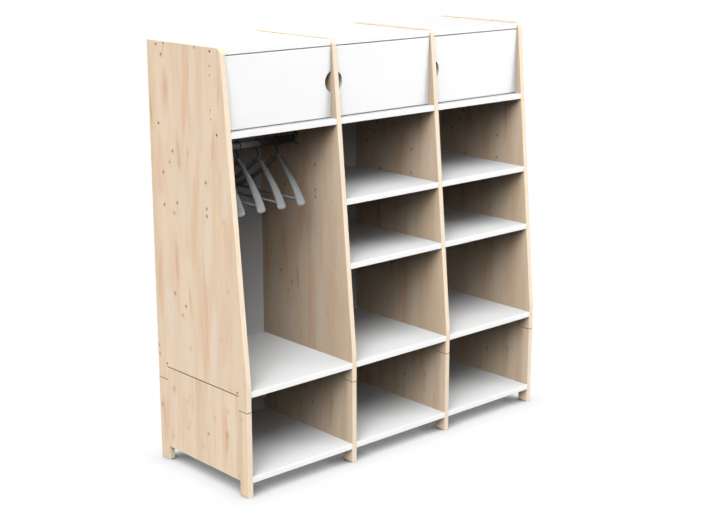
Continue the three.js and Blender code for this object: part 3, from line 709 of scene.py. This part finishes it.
def add_small_fixings(nickel, black):
    """Screws of the rail's sockets and of the door stops, and the nails of the backs."""
    head = screw_head(radius=3, height=1.6, drive=cross)
    for side, x, inward in SOCKET_FACES:
        steps = (-SOCKET_SCREW_STEP, SOCKET_SCREW_STEP)
        places = [(x, RAIL_SETBACK, RAIL_HEIGHT + step) for step in steps]
        add_heads(f"socket_screws_{side}", head, places, (inward, 0, 0), black, "carcass")
    stop_head = screw_head(radius=3.25, height=1.6, drive=cross)
    add_heads("stop_screws", stop_head, STOP_SCREWS, (0, 0, -1), nickel, "carcass")
    nails = []
    for index, levels in enumerate(NAIL_LEVELS):
        bay_left = (index * PITCH + 2 * PANEL_HALF) / MM
        for inset in NAIL_INSETS:
            nails += [(bay_left + inset, BACK_FACE, level) for level in levels]
    add_heads("back_nails", nail_head(), nails, (0, 1, 0), nickel, "carcass")


def shoulder_point(share):
    """Centre line of a hanger's shoulders, from -1 at the front tip to 1 at the back tip."""
    reach = abs(share)
    fall = reach - SHOULDER_FLAT / 2
    if reach < SHOULDER_FLAT:
        fall = reach * reach / (2 * SHOULDER_FLAT)
    slope = (1 + SHOULDER_CROWN) * fall / (1 - SHOULDER_FLAT / 2)
    drop = HANGER_DROP * (slope - SHOULDER_CROWN * share * share)
    return Vector((-HANGER_BOW * share * share, HANGER_REACH * share, NECK_HEIGHT - drop))


def shoulder_ring(bm, share, hook_x):
    """One section of the shoulders: a rounded bar that widens towards the blunt tips."""
    reach = abs(share)
    near_tip = max(0.0, 1 - HANGER_REACH * (1 - reach) / SHOULDER_TIP)
    round_off = max(TIP_SHARE, math.sqrt(1 - near_tip * near_tip))
    width = NECK_WIDTH + (TIP_WIDTH - NECK_WIDTH) * reach ** SHOULDER_WIDENING
    ring = bmesh.ops.create_circle(bm, segments=32, radius=1.0)["verts"]
    for vert in ring:
        vert.co.x = math.copysign(abs(vert.co.x) ** 0.8, vert.co.x)
    bmesh.ops.rotate(bm, verts=ring, matrix=Matrix.Rotation(math.pi / 2, 3, "X"))
    size = Vector((width / 2 * round_off, 1.0, SHOULDER_DEPTH / 2 * round_off)) * MM
    bmesh.ops.scale(bm, verts=ring, vec=size)
    place = shoulder_point(share)
    bmesh.ops.translate(bm, verts=ring, vec=at(hook_x + place.x, RAIL_SETBACK + place.y, place.z))
    return {edge for vert in ring for edge in vert.link_edges}


def add_shoulders(bm, hook_x):
    """Both shoulders as one bar through all sections, closed by blunt tips."""
    turns = [index / SHOULDER_STEPS - 0.5 for index in range(SHOULDER_STEPS + 1)]
    rings = [shoulder_ring(bm, math.sin(math.pi * turn), hook_x) for turn in turns]
    for first, second in zip(rings, rings[1:]):
        bmesh.ops.bridge_loops(bm, edges=list(first | second))
    for ring in (rings[0], rings[-1]):
        cap = bmesh.ops.edgeloop_fill(bm, edges=list(ring))["faces"]
        bmesh.ops.bevel(
            bm, geom=list(cap[0].edges), offset=TIP_BEVEL * MM, affect="EDGES",
            segments=3, profile=0.5, material=-1,
        )


def add_neck(bm, hook_x):
    """A waisted neck, bored for the hook's shank, turned from its outline."""
    verts = []
    for reach, rise in NECK_OUTLINE:
        verts.append(bm.verts.new(at(hook_x + reach, RAIL_SETBACK, NECK_HEIGHT + rise)))
    edges = [bm.edges.new(pair) for pair in zip(verts, verts[1:])]
    bmesh.ops.spin(
        bm, geom=verts + edges, cent=at(hook_x, RAIL_SETBACK, NECK_HEIGHT), axis=(0, 0, 1),
        angle=2 * math.pi, steps=32, use_merge=True,
    )


def add_bar(bm, hook_x):
    """The round bar that joins the two shoulders."""
    half = HANGER_REACH - BAR_INSET
    end = shoulder_point(half / HANGER_REACH)
    radius = BAR_RADIUS * MM
    bar = bmesh.ops.create_cone(
        bm, cap_ends=True, segments=24, radius1=radius, radius2=radius, depth=2 * half * MM
    )["verts"]
    bmesh.ops.rotate(bm, verts=bar, matrix=Matrix.Rotation(math.pi / 2, 3, "X"))
    bmesh.ops.translate(bm, verts=bar, vec=at(hook_x + end.x, RAIL_SETBACK, end.z + BAR_RISE))


def add_hangers(material):
    """Smoother hanger bodies in place of the faceted solids."""
    for index in range(HANGER_COUNT):
        hook_x = HANGER_FIRST + index * HANGER_PITCH
        bm = bmesh.new()
        add_shoulders(bm, hook_x)
        add_neck(bm, hook_x)
        add_bar(bm, hook_x)
        body = f"hanger_{index + 1}_body"
        piece = solid(f"hanger_shoulders_{index + 1}", bm, material, body, crease=50)
        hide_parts(body)


def add_camera():
    """The photograph's standpoint, with its framing kept by the shift."""
    turn, dip = math.radians(CAMERA_TURN), math.radians(CAMERA_DIP)
    ahead = Vector((math.sin(turn) * math.cos(dip), math.cos(turn) * math.cos(dip), -math.sin(dip)))
    right = ahead.cross(Vector((0, 0, 1))).normalized()
    up = right.cross(ahead)
    level = Matrix.Rotation(-math.radians(CAMERA_ROLL), 3, ahead)
    right, up = level @ right, level @ up
    data = bpy.data.cameras.new("camera")
    data.sensor_width = CAMERA_SENSOR
    data.lens = CAMERA_LENS
    data.shift_x, data.shift_y = CAMERA_SHIFT
    data.clip_end = 100.0
    camera = linked("camera", data)
    camera.matrix_world = Matrix((right, up, -ahead)).transposed().to_4x4()
    camera.location = CAMERA_PLACE
    bpy.context.scene.camera = camera


def add_sun(name, turn, height, strength):
    """Soft light from a side, counted from the front towards the right, and a height in degrees."""
    data = bpy.data.lights.new(name, "SUN")
    data.energy = strength
    data.angle = math.radians(SUN_SPREAD)
    data.cycles.max_bounces = 0
    data.cycles.use_multiple_importance_sampling = False
    sun = linked(name, data)
    side, rise = math.radians(turn), math.radians(height)
    level = math.cos(rise)
    towards = Vector((math.sin(side) * level, -math.cos(side) * level, math.sin(rise)))
    sun.rotation_euler = towards.to_track_quat("Z", "Y").to_euler()


def add_light():
    """The soft lights, and a world that is white to the camera and faint as a light."""
    for name, turn, height, strength in SUNS:
        add_sun(name, turn, height, strength)
    world = bpy.data.worlds.new("studio")
    world.use_nodes = True
    nodes, links = world.node_tree.nodes, world.node_tree.links
    background = nodes["Background"]
    background.inputs["Color"].default_value = (1, 1, 1, 1)
    path = nodes.new("ShaderNodeLightPath")
    level = nodes.new("ShaderNodeMapRange")
    level.inputs["To Min"].default_value = WORLD_LEVEL
    level.inputs["To Max"].default_value = 1.0
    links.new(path.outputs["Is Camera Ray"], level.inputs["Value"])
    links.new(level.outputs[0], background.inputs["Strength"])
    bpy.context.scene.world = world


def add_floor():
    """A white floor: for the camera only its soft shadow shows, deep close to the object."""
    bm = bmesh.new()
    bmesh.ops.create_circle(bm, cap_ends=True, segments=96, radius=FLOOR_RADIUS)
    mesh = meshed(bm, "floor")
    floor = linked("floor", mesh)
    finish = Finish("floor", 0.9)
    nodes, links = finish.nodes, finish.links
    finish.shader.inputs["Base Color"].default_value = (0.9, 0.9, 0.9, 1)
    finish.shader.inputs["Specular IOR Level"].default_value = 0.0
    path = nodes.new("ShaderNodeLightPath")
    near, wide = (
        finish.add("ShaderNodeAmbientOcclusion", {"Distance": reach}, output="AO", samples=16)
        for reach in (NEAR_SHADOW, WIDE_SHADOW)
    )
    shade = finish.math("MULTIPLY", near, finish.span(wide, 0.0, 1.0, WIDE_LEAST, 1.0))
    deep = finish.math("MULTIPLY_ADD", shade, *DEEP_TONE)
    faint = finish.math("MULTIPLY_ADD", shade, *FAINT_TONE)
    shade = finish.math("SMOOTH_MIN", deep, faint, TONE_BLEND)
    shade = finish.math("MAXIMUM", shade, TONE_LEAST)
    white = nodes.new("ShaderNodeEmission")
    links.new(shade, white.inputs["Strength"])
    blend = nodes.new("ShaderNodeMixShader")
    links.new(path.outputs["Is Camera Ray"], blend.inputs[0])
    links.new(finish.shader.outputs[0], blend.inputs[1])
    links.new(white.outputs[0], blend.inputs[2])
    links.new(blend.outputs[0], nodes["Material Output"].inputs["Surface"])
    mesh.materials.append(finish.material)
    floor.visible_shadow = False


dress_wood()
dress_boards()
dress_fittings()
add_floor()
add_light()
add_camera()
bpy.context.scene.view_settings.view_transform = "Standard"
